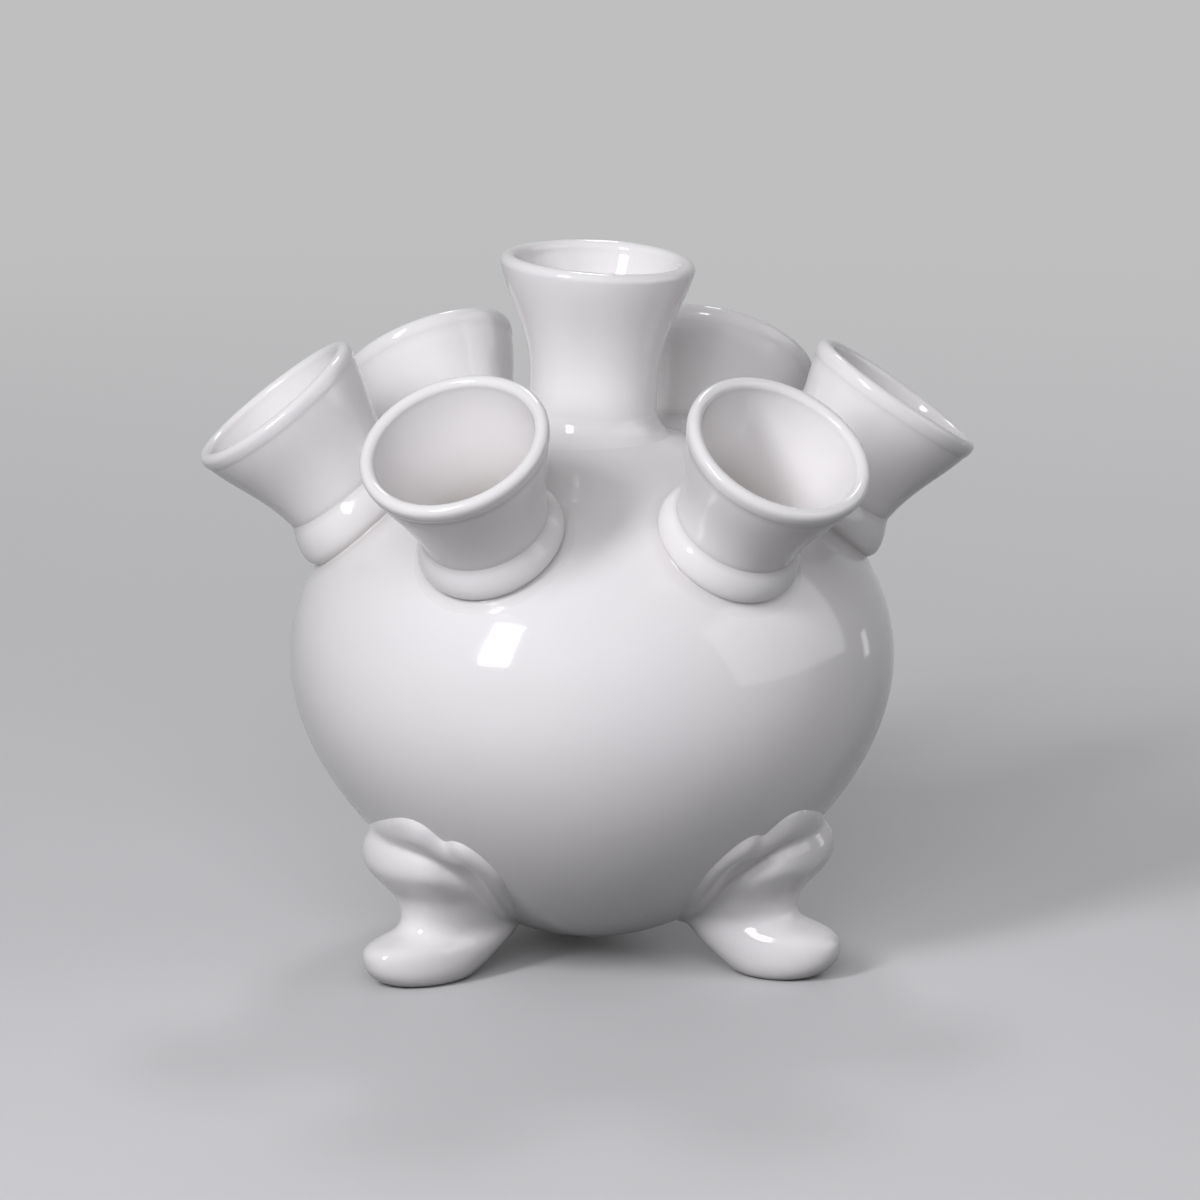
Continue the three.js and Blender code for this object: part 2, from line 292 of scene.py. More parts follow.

# %% [markdown]
# ## Glaze
# The real surface is white clay under a thick glassy glaze. Three things make it look
# real. The glaze gathers in creases, where it is greyer, and that grey is also painted
# shade in the creases and hollows; it draws thin over edges, where the warm body shows
# through. It has a few pin-head specks. And it is never quite level, so reflections
# waver. Each piece carries two numbers on its points: one for gathered glaze with its
# painted shade, or for thin glaze, and one for a painted warm shade deep in a spout. A
# texture alone couldn't know where the creases are. The soles are wiped bare before the
# firing, so that they don't stick to the kiln shelf, and there the height of the point
# decides.

# %% Mix the glaze
WHITE = (0.825, 0.803, 0.800, 1)
COOL_WHITE = (0.800, 0.781, 0.785, 1)
# Grey of gathered glaze, also used as painted shade in creases and hollows.
GATHERED_GLAZE_AND_SHADE = (0.590, 0.568, 0.555, 1)
THIN = (0.835, 0.822, 0.815, 1)
# Painted warm shade deep inside a spout, where little light reaches.
THROAT_SHADE = (0.790, 0.755, 0.725, 1)
SPECK = (0.22, 0.19, 0.16, 1)
BARE_CLAY = (0.660, 0.560, 0.450, 1)
GATHERED_AND_SHADE_SHARE = 0.55
THIN_SHARE = 0.8
SPECK_SHARE = 0.75
SPECKS_PER_METRE = 85.0
SPECK_CORE = 0.012
SPECK_RIM = 0.026
SPECKS_LEFT_OUT = 0.80
ROUGHNESS = 0.08
ROUGHNESS_WAVER = 0.03
GATHERED_ROUGHNESS = 0.02
BARE_ROUGHNESS = 0.6
# Heights, in metres.
WIPED = 0.0005
WIPED_WAVER = 0.0003
SWELL_HEIGHT = 0.00016
DENT_HEIGHT = 0.00005
PEEL_HEIGHT = 0.0000012
PIT_DEPTH = 0.00005


def mix_glaze(name):
    material = bpy.data.materials.new(name)
    bench = Bench(material)
    place = bench.wire("ShaderNodeTexCoord", output="Object")

    def cloud(scale, detail=2.0):
        return bench.wire(
            "ShaderNodeTexNoise", None, {"Vector": place, "Scale": scale, "Detail": detail}
        )

    def number(attribute):
        return bench.wire("ShaderNodeAttribute", {"attribute_name": attribute}, output="Fac")

    pool_and_shade = number("pool_and_shade")
    throat_shade = number("throat_shade")
    colour = bench.blend(cloud(22).ramp(0.35, 0.65), WHITE, COOL_WHITE)
    # Gathered glaze greys the creases, and the same grey paints shade into them.
    colour = bench.blend(pool_and_shade.ramp(0, 1) * GATHERED_AND_SHADE_SHARE, colour, GATHERED_GLAZE_AND_SHADE)
    colour = bench.blend((0 - pool_and_shade).ramp(0, 1) * THIN_SHARE, colour, THIN)
    # Painted warm shade deep in the spouts.
    colour = bench.blend(throat_shade.ramp(0, 1), colour, THROAT_SHADE)

    cells = {"Vector": place, "Scale": SPECKS_PER_METRE}
    near = bench.wire("ShaderNodeTexVoronoi", None, cells, output="Distance")
    lot = bench.wire("ShaderNodeTexVoronoi", None, cells, output="Color")
    drawn = bench.wire("ShaderNodeSeparateColor", None, {"Color": lot}, output="Red")
    kept = drawn.ramp(SPECKS_LEFT_OUT, SPECKS_LEFT_OUT + 0.005)
    speck = (1 - near.ramp(SPECK_CORE, SPECK_RIM)) * kept
    colour = bench.blend(speck * SPECK_SHARE, colour, SPECK)

    upwards = bench.wire("ShaderNodeSeparateXYZ", None, {"Vector": place}, output="Z")
    bare = 1 - (upwards + cloud(400) * WIPED_WAVER).ramp(WIPED, WIPED * 1.2)
    colour = bench.blend(bare, colour, BARE_CLAY)

    swell = cloud(55, 1.0)
    dents = cloud(170, 1.0) * cloud(21).ramp(0.52, 0.66)
    peel = cloud(700, 1.0)
    height = swell * SWELL_HEIGHT + dents * DENT_HEIGHT + peel * PEEL_HEIGHT - speck * PIT_DEPTH
    level = bench.wire(
        "ShaderNodeBump", None, {"Height": height, "Strength": 1.0, "Distance": 1.0}
    )
    roughness = cloud(30).ramp(0.3, 0.7) * ROUGHNESS_WAVER + ROUGHNESS
    roughness = roughness + pool_and_shade.ramp(0, 1) * GATHERED_ROUGHNESS + bare * BARE_ROUGHNESS
    surface = bench.wire(
        "ShaderNodeBsdfPrincipled",
        None,
        {"Base Color": colour, "Roughness": roughness, "Normal": level, "IOR": 1.52},
    )
    bench.node("ShaderNodeOutputMaterial", None, {"Surface": surface})
    return material


glaze = mix_glaze("white_glaze")
print("glaze nodes:", len(glaze.node_tree.nodes))

# %% [markdown]
# ## The egg curve
# The globe isn't a ball: it is fullest above the middle and draws in towards the feet.
# One short formula gives that curve, and every joint needs it too, because collars and
# leaves have to lie on the globe. `egg` gives a point of the skin and `above_egg` says
# how far any point in space stands off it.

# %% Write the egg curve
GLOBE_RADIUS = 66.5
GLOBE_HALF_HEIGHT = 57.4
GLOBE_MIDDLE = 61.7
GLOBE_SWELL = 0.136
GLOBE_TAPER = -0.115
GLOBE_WALL = 3.6


def egg(latitude, offset=0.0):
    """Radius and height of the skin at a latitude, in mm, moved out by an offset."""
    s, c = math.sin(latitude), math.cos(latitude)
    shape = 1 + GLOBE_SWELL * s + GLOBE_TAPER * s * s
    rise = GLOBE_HALF_HEIGHT * c
    spread = GLOBE_RADIUS * (c * c * (GLOBE_SWELL + 2 * GLOBE_TAPER * s) - s * shape)
    slope = math.hypot(rise, spread)
    return (
        GLOBE_RADIUS * c * shape + offset * rise / slope,
        GLOBE_MIDDLE + GLOBE_HALF_HEIGHT * s - offset * spread / slope,
    )


def above_egg(point):
    """How far a point, in mm, stands off the skin, and which way is out."""
    s = (point.z - GLOBE_MIDDLE) / GLOBE_HALF_HEIGHT
    around = max(1e-6, math.hypot(point.x, point.y))
    shape = 1 + GLOBE_SWELL * s + GLOBE_TAPER * s * s
    share = around / (GLOBE_RADIUS * shape)
    size = math.hypot(share, s)
    outward = share / (GLOBE_RADIUS * shape * size)
    bend = (GLOBE_SWELL + 2 * GLOBE_TAPER * s) / shape
    rise = (s - share * share * bend) / (GLOBE_HALF_HEIGHT * size)
    out = Vector((outward * point.x / around, outward * point.y / around, rise))
    return (size - 1) / out.length, out.normalized()


print("globe widest:", round(2 * max(egg(math.radians(a))[0] for a in range(-20, 30)), 1), "mm")

# %% [markdown]
# ## Spinning a piece
# Every round piece is thrown on a wheel, and `spin` is Blender's wheel. An outline is a
# list of steps: radius, distance along the piece's own axis, and how far that step is
# `seated` on the globe: 0 follows the piece and 1 follows the globe's skin. So one
# outline makes a foot that fits the slope of the globe all the way round. It could be
# cut with a boolean instead, but a cut leaves a hard line where slip leaves a soft one.

# %% Define the wheel
STEPS_ROUND = 128
WELD = 1e-4


def between(a, b, c, d, t):
    """A point from b to c, where a and d are the neighbours that the curve bends to."""
    bend = 2 * a - 5 * b + 4 * c - d
    twist = 3 * b - a - 3 * c + d
    return b + 0.5 * t * (c - a + t * (bend + t * twist))


def smooth_through(points, parts):
    """A soft curve through rows of numbers, with so many parts between two rows."""
    rows = [points[0], *points, points[-1]]
    curve = []
    for span in zip(rows, rows[1:], rows[2:], rows[3:]):
        for part in range(parts):
            curve.append(tuple(between(*four, part / parts) for four in zip(*span)))
    curve.append(tuple(points[-1]))
    return curve


def bump(value, middle, spread):
    """1 at the middle, dying away on both sides."""
    return math.exp(-(((value - middle) / spread) ** 2))


def spin_outline(outline, closed=True):
    """Outline rows are (radius, along, seat, pool, throat), in mm, along counted down."""
    bm = bmesh.new()
    layers = [bm.verts.layers.float.new(name) for name in ("seat", "pool_and_shade", "throat_shade")]
    corners = []
    for radius, along, *marks in outline:
        corner = bm.verts.new((radius, 0, -along))
        for layer, mark in zip(layers, marks):
            corner[layer] = mark
        corners.append(corner)
    pairs = list(zip(corners, corners[1:]))
    if closed:
        pairs.append((corners[-1], corners[0]))
    edges = [bm.edges.new(pair) for pair in pairs]
    bmesh.ops.spin(
        bm,
        geom=corners + edges,
        cent=(0, 0, 0),
        axis=(0, 0, 1),
        angle=2 * math.pi,
        steps=STEPS_ROUND,
        use_merge=True,
    )
    bmesh.ops.remove_doubles(bm, verts=bm.verts, dist=WELD)
    bmesh.ops.recalc_face_normals(bm, faces=bm.faces)
    return bm


print(STEPS_ROUND, "steps to a turn")

# %% Seat a piece and hand it in
SEAT_START = 29.0
SEAT_TRIES = 9
SHARP_ANGLE = 60


def seat_on_globe(bm, place):
    """Let each step down on the globe by its seat, and put the piece in its place."""
    seat = bm.verts.layers.float["seat"]
    for corner in bm.verts:
        if corner[seat] == 0:
            continue
        depth = SEAT_START
        for _ in range(SEAT_TRIES):
            depth += above_egg(place @ Vector((corner.co.x, corner.co.y, -depth)))[0]
        corner.co.z -= corner[seat] * depth
    bm.transform(place)


def hand_in(name, bm, *nodes):
    """Turn a finished bmesh, in mm, into a piece that stands for its solids."""
    bm.transform(Matrix.Scale(MM, 4))
    mesh = bpy.data.meshes.new(name)
    bm.to_mesh(mesh)
    bm.free()
    mesh.shade_smooth()
    mesh.set_sharp_from_angle(angle=math.radians(SHARP_ANGLE))
    mesh.materials.append(glaze)
    piece = bpy.data.objects.new(name, mesh)
    bpy.context.scene.collection.objects.link(piece)
    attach(piece, "root")
    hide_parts(*nodes)
    print(name, len(mesh.polygons), "faces")
    return piece


# %% [markdown]
# ## Where the spouts stand
# Each spout was pushed on by eye, so no two lean alike. Bearing and lean are in degrees;
# reach and height place the centre of the lip. A matrix turns that into a place whose
# own Z runs up through the mouth.

# %% Place the spouts
LEANING_SPOUTS = {
    "front_left": (-30, 36, 65.4, 126),
    "front_right": (32, 37.8, 67.9, 124.3),
    "left": (-89.5, 37.8, 69.2, 125.2),
    "right": (89.5, 35.2, 67.5, 124.7),
    "back_left": (-150, 37.4, 67.5, 124.9),
    "back_right": (149.5, 36, 68.8, 125.1),
}
CENTER_SPOUT = (90, 2.2, 1.7, 155.75)


def place_of(bearing, lean, reach, height):
    turn = Matrix.Rotation(math.radians(bearing), 4, "Z")
    tilt = Matrix.Rotation(math.radians(lean), 4, "X")
    spot = turn @ Vector((0, -reach, height))
    return Matrix.Translation(spot) @ turn @ tilt


places = {name: place_of(*row) for name, row in LEANING_SPOUTS.items()}
places["center"] = place_of(*CENTER_SPOUT)
print("spouts:", ", ".join(places))

# %% [markdown]
# ## Globe
# The globe is spun as two skins, one outside and one inside, a wall's thickness apart.
# The inner skin is turned round so that its faces look into the hollow. Then the holes
# for the spouts are bored. Here a boolean is right: a potter bores these too, and the
# rims end up hidden under the collars.

# %% Spin the globe's two skins
NECK_RADIUS = 14.1
JOINT = 0.3
OUTER_ROWS = 96
INNER_ROWS = 48


def globe_skin(offset, rows, inward=False):
    latitudes = [math.radians(180 * row / rows - 90) for row in range(rows + 1)]
    points = [egg(latitude, offset) for latitude in latitudes]
    outline = [(radius, -height, 0, 0, 0) for radius, height in points]
    outline[0] = (0, *outline[0][1:])
    outline[-1] = (0, *outline[-1][1:])
    bm = spin_outline(outline, closed=False)
    if inward:
        bmesh.ops.reverse_faces(bm, faces=bm.faces)
    return bm


skins = globe_skin(0, OUTER_ROWS)
inner = bpy.data.meshes.new("inner")
inner_bm = globe_skin(-GLOBE_WALL, INNER_ROWS, inward=True)
inner_bm.to_mesh(inner)
inner_bm.free()
skins.from_mesh(inner)
bpy.data.meshes.remove(inner)
print("skins:", len(skins.faces), "faces")

# %% Bore the globe
DRILL_SIDES = 64
DRILL_LENGTH = 24
DRILL_MIDDLE = 33


def bored(bm, places):
    """The globe's wall with a round hole for each spout."""
    drills = bmesh.new()
    for place in places:
        bmesh.ops.create_cone(
            drills,
            cap_ends=True,
            segments=DRILL_SIDES,
            radius1=NECK_RADIUS + JOINT,
            radius2=NECK_RADIUS + JOINT,
            depth=DRILL_LENGTH,
            matrix=place @ Matrix.Translation((0, 0, -DRILL_MIDDLE)),
        )
    made = []
    for name, source in (("wall", bm), ("drills", drills)):
        mesh = bpy.data.meshes.new(name)
        source.to_mesh(mesh)
        source.free()
        made.append(bpy.data.objects.new(name, mesh))
        bpy.context.scene.collection.objects.link(made[-1])
    wall, drill = made
    cut = wall.modifiers.new("bore", "BOOLEAN")
    cut.operation, cut.solver, cut.object = "DIFFERENCE", "EXACT", drill
    graph = bpy.context.evaluated_depsgraph_get()
    result = bmesh.new()
    result.from_mesh(wall.evaluated_get(graph).to_mesh())
    for thing in made:
        mesh = thing.data
        bpy.data.objects.remove(thing)
        bpy.data.meshes.remove(mesh)
    return result


hand_in("globe", bored(skins, places.values()), "body")

# %% [markdown]
# ## Trumpet spouts
# A trumpet is a straight neck that opens more and more quickly, and its lip is rolled
# over into a bead. The outside is a Bezier curve, as a rib held against the wet wall
# would draw it. On the leaning spouts the bead hangs a little over the outside of the
# neck, most on the front pair, and on the upright one it leaves the neck without a
# corner. Glaze gathers in the fold, and its grey there is also a painted shadow under
# the bead; deep inside, the wall is painted a warm shade. The tail goes right through
# the globe's wall and is trimmed on the inner skin, which the last steps of the outline
# do by their seat.

# %% Draw a trumpet's outline
LIP_ROUND = 1.55
MOUTH_RADIUS = 19.15
NECK_AT = 24.7
COLLAR_TOP = 23.6
# The Bezier's two middle points: how far each stands out, and how far below the lip.
NECK_PULL = (0.6, 14.4)
MOUTH_PULL = (0.05, 8.4)
OUTER_STEPS = 81
THROWN = [step / OUTER_STEPS for step in range(OUTER_STEPS + 1)]
CREASE_WIDTH = 1.2
# Gathered glaze and a painted shadow in the fold under the bead.
FOLD_POOL_AND_SHADE = 1.5
FOLD_WIDTH = 0.8
INNER_EVERY = 3
INNER_TOP = 0.8
THROAT_TOP = 12
THROAT_FADE = 16
# The lip is an arc, in degrees, from its outside over the crown towards the bore.
LIP_STEPS = 15
LIP_TURN = 201
# How far a bead stands over the neck, and how much lower it hangs than it is thick.
LIPS = {
    "front_left": (0.45, 1.9),
    "front_right": (0.38, 1.9),
    "left": (0.1, 1.9),
    "center": (0.0, 1.0),
}
USUAL_LIP = (0.2, 1.9)


def trumpet(name, mouth, roll, root, crease):
    """Outline of a spout, from the root up, over the lip and down the bore."""
    bored_to = NECK_RADIUS - 2 * roll
    overhang, hang = LIPS.get(name, USUAL_LIP)

    def wall(t):
        """Radius and distance of the outer curve, from the neck (0) to the lip (1)."""
        ends = ((NECK_RADIUS, NECK_AT), (NECK_RADIUS + NECK_PULL[0], NECK_PULL[1]))
        ends += ((mouth + MOUTH_PULL[0], MOUTH_PULL[1]), (mouth + roll * 0.98, 0.2 * roll))
        shares = ((1 - t) ** 3, 3 * t * (1 - t) ** 2, 3 * t * t * (1 - t), t**3)
        return [sum(share * end[i] for share, end in zip(shares, ends)) for i in (0, 1)]

    def bead(along):
        """Radius of the rolled lip's outer side."""
        return mouth + roll * math.sqrt(max(0, 1 - (along / (roll * hang)) ** 2))

    outside, inside = [], []
    edge = min(a for r, a in map(wall, THROWN) if bead(a) < r - overhang)
    for step, (radius, along) in enumerate(map(wall, THROWN)):
        # The collar crease and the fold under the bead get gathered glaze and painted shade.
        pool_and_shade = crease * bump(along, COLLAR_TOP, CREASE_WIDTH)
        pool_and_shade += FOLD_POOL_AND_SHADE * overhang * bump(along, edge, FOLD_WIDTH)
        undercut = overhang * (1 - along / (2 * NECK_AT)) ** 8
        outer = max(radius - undercut, bead(along) if along < edge + 1 else 0)
        outside.append((outer, along, 0, pool_and_shade, 0))
        if along > INNER_TOP and step % INNER_EVERY == 0:
            # Painted shade grows deeper down the inside of the spout.
            throat_shade = min(1.0, max(0.0, (along - THROAT_TOP) / THROAT_FADE))
            inside.append((radius - 2 * roll, along, 0, 0, throat_shade))
    lip = []
    for step in range(LIP_STEPS):
        turn = math.radians(LIP_TURN * step / LIP_STEPS)
        crown = math.sin(turn) if turn < math.pi else 0
        lip.append((mouth + roll * math.cos(turn), -roll * math.sin(turn), 0, -crown, 0))
    bore = [
        (bored_to, 0.5, 1, 0, 1),
        (bored_to, 3.0, 1, 0, 1),
        (bored_to + 0.4, 3.8, 1, 0, 1),
        (bored_to + 1.3, 4.1, 1, 0, 1),
    ]
    return [*root, *outside, *lip, *reversed(inside), *bore]


straight_root = [
    (NECK_RADIUS + 0.4, 4.1, 1, 0, 1),
    (NECK_RADIUS + 0.2, 3.0, 1, 0, 1),
    (NECK_RADIUS, 0.5, 1, 1, 0),
    (NECK_RADIUS, 26.5, 0, 1, 0),
    (NECK_RADIUS, 25.3, 0, 1, 0),
]


print("mouths:", round(2 * (MOUTH_RADIUS + LIP_ROUND), 1), "mm across")

# %% Turn the leaning spouts
WAVER_REACH = 16
OUT_OF_ROUND = 0.006
OUT_OF_LEVEL = 0.14


def soften_by_hand(bm, seed, dips=(0, 0, 0)):
    """A thrown mouth is never quite round or level; the neck, already luted, is."""
    for corner in bm.verts:
        share = max(0.0, 1 + corner.co.z / WAVER_REACH) ** 2
        turn = math.atan2(corner.co.y, corner.co.x)
        wave = math.sin(2 * turn + seed) + 0.5 * math.sin(3 * turn + 2.3 * seed)
        corner.co.x *= 1 + OUT_OF_ROUND * share * wave
        corner.co.y *= 1 + OUT_OF_ROUND * share * wave
        corner.co.z += OUT_OF_LEVEL * share * math.sin(2 * turn + 1.7 * seed)
        corner.co.z += share * (dips[0] * corner.co.x + dips[1] * corner.co.y + dips[2])


for seed, name in enumerate(LEANING_SPOUTS, 1):
    bm = spin_outline(trumpet(name, MOUTH_RADIUS, LIP_ROUND, straight_root, 1))
    soften_by_hand(bm, seed)
    seat_on_globe(bm, places[name])
    hand_in(f"trumpet_{name}", bm, f"spout_{name}")

# %% [markdown]
# ## The upright spout
# It stands on the top of the dome and has no collar: its neck opens into a skirt that
# dies away into the dome. The skirt is a quarter round whose steps are all seated on the
# globe, and the first of them sinks just under the skin, so no edge shows. Very faint
# rings, as a finger leaves them where the neck begins, let the light waver there.

# %% Spin the upright spout
CENTER_MOUTH_RADIUS = 19.65
CENTER_LIP_ROUND = 1.85
CENTER_SEED = 9
MOUTH_DIPS = (0.025, 0.022, -0.6)
SKIRT_ROUND = 7.5
SKIRT_STEPS = 45
SKIRT_POOL = 0.3
RING_STEP = 0.035
RING_EVERY = 1.9
skirt = [(NECK_RADIUS + SKIRT_ROUND + 2, 0.1, 1, 0, 0)]
for step in range(SKIRT_STEPS + 1):
    turn = math.radians(90 * (1 - step / SKIRT_STEPS))
    over = SKIRT_ROUND * (1 - math.sin(turn))
    ring = RING_STEP * math.sin(math.tau * over / RING_EVERY) * math.sin(2 * turn)
    radius = NECK_RADIUS + SKIRT_ROUND * (1 - math.cos(turn)) + ring
    skirt.append((radius, -over, 1, SKIRT_POOL, 0))
skirt.append((NECK_RADIUS, 27.0, 0, 0, 0))
skirt_root = [(NECK_RADIUS + 0.4, 4.1, 1, 0, 1), (NECK_RADIUS, 1.6, 1, 0, 0), *skirt]
outline = trumpet("center", CENTER_MOUTH_RADIUS, CENTER_LIP_ROUND, skirt_root, 0)
bm = spin_outline(outline)
soften_by_hand(bm, CENTER_SEED, MOUTH_DIPS)
seat_on_globe(bm, places["center"])
hand_in("trumpet_center", bm, "spout_center")

# %% [markdown]
# ## Collars
# A roll of soft clay is pressed round each root and smoothed with a wet finger. It
# leaves the neck in a soft crease, widens down to a round belly, and is tucked in
# against the globe, in a tight hollow where the glaze gathers and shines. The grey of
# the gathered glaze in the crease and the hollow is also painted shade. The collar is
# a spun outline as well: its top follows the neck, and its foot follows the globe.

# %% Spin the collars
def collar_row(radius, drop, seat, pool_and_shade):
    """Drop counts down from the collar's top where seat is 0, from the skin at 1."""
    return (radius, COLLAR_TOP * (1 - seat) + drop, seat, pool_and_shade, 0)


# The last number of each row greys the crease and the tuck, as gathered glaze and painted
# shade; negative ones thin the glaze on the belly.
crease = [
    collar_row(13.90, -1.7, 0, 0.2),
    collar_row(14.05, -0.9, 0, 0.6),
    collar_row(14.28, -0.1, 0, 0.6),
]
belly = [
    collar_row(14.75, -0.10, 0.12, 0.1),
    collar_row(15.35, -0.20, 0.26, -0.4),
    collar_row(15.90, -0.30, 0.41, -0.6),
    collar_row(16.28, -0.40, 0.56, -0.6),
    collar_row(16.42, -0.50, 0.70, -0.4),
    collar_row(16.30, -0.60, 0.82, -0.1),
    collar_row(15.95, -0.68, 0.92, 0.3),
    collar_row(15.52, -0.70, 1.00, 0.7),
]
tuck = [
    collar_row(15.38, -0.50, 1, 1.0),
    collar_row(15.45, -0.32, 1, 1.0),
    collar_row(15.75, -0.20, 1, 1.0),
    collar_row(16.40, -0.11, 1, 0.7),
    collar_row(17.60, -0.03, 1, 0.3),
    collar_row(19.50, 0.12, 1, 0.0),
]
hidden = [
    collar_row(19.0, 1.0, 1, 0),
    collar_row(14.0, 1.4, 1, 0),
    collar_row(13.6, 0, 0.5, 0),
]
COLLAR_PARTS = 4
for name in LEANING_SPOUTS:
    bm = spin_outline([*smooth_through([*crease, *belly, *tuck], COLLAR_PARTS), *hidden])
    seat_on_globe(bm, places[name])
    hand_in(f"luting_{name}", bm, f"collar_{name}")

# %% [markdown]
# ## Feet
# Each foot is an S: toe, ankle, and a knee that pushes up against the globe, with a leaf
# of two lobes spread over the globe's skin, one lobe taller than the other. The leg is a
# stack of rounded rings, each pulled up from the last with `extrude_edge_only`. It could
# be a bent tube instead, but a tube has one width, and here the knee is broad and the
# ankle thin. No two feet droop alike, so each has its own small differences.

# %% Shape the leg
# Bearing in degrees, droop of the ankle, heel and toe in mm, and -1 for a mirrored leaf.
FEET = {
    "left": (-60, 2.3, 1.6, 0, 1),
    "right": (59, 1.1, -0.8, 0.9, -1),
    "back": (180, 1, 0, 0.4, 1),
}
# Height, front, back and half width of each level, in mm.
FOOT_LEVELS = [
    (0, 52, 37.6, 6),
    (0.8, 55.7, 34.8, 7.8),
    (3.4, 58.8, 31, 9.2),
    (6.8, 59.8, 26.5, 9.6),
    (9.8, 59.2, 24, 9.4),
    (11.6, 57.6, 22.8, 9),
    (12.8, 54.2, 22.2, 8.7),
    (13.8, 51, 22, 8.6),
    (15.6, 49.4, 22.2, 9.6),
    (19, 50.6, 25, 11.8),
    (23.0, 54.3, 32.5, 13.8),
    (26.5, 56.4, 41, 14.4),
    (30.5, 56.0, 46.2, 13.0),
    (34.5, 54.0, 46.7, 9.4),
    (37.4, 52.5, 47.6, 4.8),
]
FOOT_ROUNDNESS = 2.15
LEG_SIDES = 72
LEG_PARTS = 5
ANKLE = (12, 4)
TOE = (8, 5)


def bent_by_hand(level, droop, heel, toe):
    height, front, behind, width = level
    lowered = height - droop * height / ANKLE[0] * bump(height, *ANKLE)
    return (lowered, front + toe * bump(height, *TOE), behind - heel, width)


def leg(droop, heel, toe):
    bent = [bent_by_hand(level, droop, heel, toe) for level in FOOT_LEVELS]
    levels = smooth_through(bent, LEG_PARTS)
    bm = bmesh.new()
    angle = bm.verts.layers.float.new("angle")
    bmesh.ops.create_circle(bm, segments=LEG_SIDES, radius=1)
    for corner in bm.verts:
        corner[angle] = math.atan2(corner.co.y, corner.co.x)
    ring = list(bm.edges)
    bmesh.ops.holes_fill(bm, edges=ring, sides=0)

    def shape(corners, level):
        height, front, behind, width = level
        for corner in corners:
            x, y = math.cos(corner[angle]), math.sin(corner[angle])
            x = math.copysign(abs(x) ** (2 / FOOT_ROUNDNESS), x)
            y = math.copysign(abs(y) ** (2 / FOOT_ROUNDNESS), y)
            depth = (front + behind) / 2 + (front - behind) / 2 * y
            corner.co = (width * x, -depth, height)

    shape(bm.verts, levels[0])
    for level in levels[1:]:
        grown = bmesh.ops.extrude_edge_only(bm, edges=ring)["geom"]
        shape([part for part in grown if isinstance(part, bmesh.types.BMVert)], level)
        ring = [part for part in grown if isinstance(part, bmesh.types.BMEdge)]
    bmesh.ops.holes_fill(bm, edges=ring, sides=0)
    bmesh.ops.recalc_face_normals(bm, faces=bm.faces)
    return bm


print("leg levels:", len(FOOT_LEVELS))

# %% [markdown]
# ## Leaf
# The leaf lies on a surface that curves both ways, which no flat sheet does. So it is
# drawn first: its edge is a list of bearings and latitudes on the globe, smoothed into
# one soft line. A flat grid is then bent onto the egg curve, and each point rises by how
# far in from the edge it lies. A round edge and a shallow cushion make it look pressed on
# by hand. A sculpted mesh would do too, but it wouldn't follow the globe by itself.

# %% Draw the leaf's edge
# Bearing from the middle of the leg and latitude on the globe, in degrees.
LEAF_TOP = (0, -24.9)
LEAF_TALL_HALF = [
    (9.5, -21.9),
    (14, -21.6),
    (17, -22.9),
    (20.1, -26.8),
    (22.6, -25.7),
    (25.8, -26.6),
    (28.6, -29.6),
    (30.6, -34),
    (31, -38.6),
    (29.4, -44.6),
    (26, -50.5),
    (18, -59),
]
LEAF_LOW_HALF = [
    (8, -27.8),
    (14, -29.8),
    (19, -33.8),
    (22.5, -32.6),
    (26.5, -34),
    (29.6, -38.6),
    (28.6, -46),
    (25, -52),
    (18, -59.5),
]
LEAF_TIP = (0, -66)
LEAF_PARTS = 4
PAPER_RADIUS = 60


def on_paper(bearing, latitude):
    """The leaf unrolled flat, in mm, to measure distances on."""
    turn, rise = math.radians(bearing), math.radians(latitude)
    return Vector((turn * egg(rise)[0], rise * PAPER_RADIUS))


low_half = [(-bearing, latitude) for bearing, latitude in reversed(LEAF_LOW_HALF)]
around_leaf = [LEAF_TOP, *LEAF_TALL_HALF, LEAF_TIP, *low_half, LEAF_TOP]
leaf_edge = [on_paper(*spot) for spot in smooth_through(around_leaf, LEAF_PARTS)]


def inside_leaf(spot):
    """Distance in from the leaf's edge; negative outside it."""
    nearest, crossings = 1e9, 0
    for start, end in zip(leaf_edge, leaf_edge[1:]):
        run = end - start
        share = min(1, max(0, (spot - start).dot(run) / run.length_squared))
        nearest = min(nearest, (spot - start - share * run).length)
        if (start.y > spot.y) != (end.y > spot.y):
            crossings += spot.x < start.x + (spot.y - start.y) / run.y * run.x
    return nearest if crossings % 2 else -nearest


print("leaf edge:", len(leaf_edge), "points")

# %% Bend the leaf onto the globe
SHEET_BEARING = 33
SHEET_MIDDLE = -44
SHEET_HEIGHT = 25
LEAF_EDGE = 0.75
LEAF_EDGE_WIDTH = 1.1
LEAF_CUSHION = 0.6
CUSHION = (3.4, 2.6)
LEAF_FILL = 2.2
FILLED = (-24, 7)
FILL_FADE = 7
LEAF_DEEPEST = -2.2
LEAF_BACK = 3.2


def leaf_rise(depth):
    """Thickness of the leaf: a round edge, then a cushion that falls off to the leg."""
    if depth < 0:
        return max(LEAF_DEEPEST, depth)
    edge = math.sqrt(1 - (1 - min(1, depth / LEAF_EDGE_WIDTH)) ** 2)
    return LEAF_EDGE * edge + LEAF_CUSHION * bump(depth, *CUSHION)


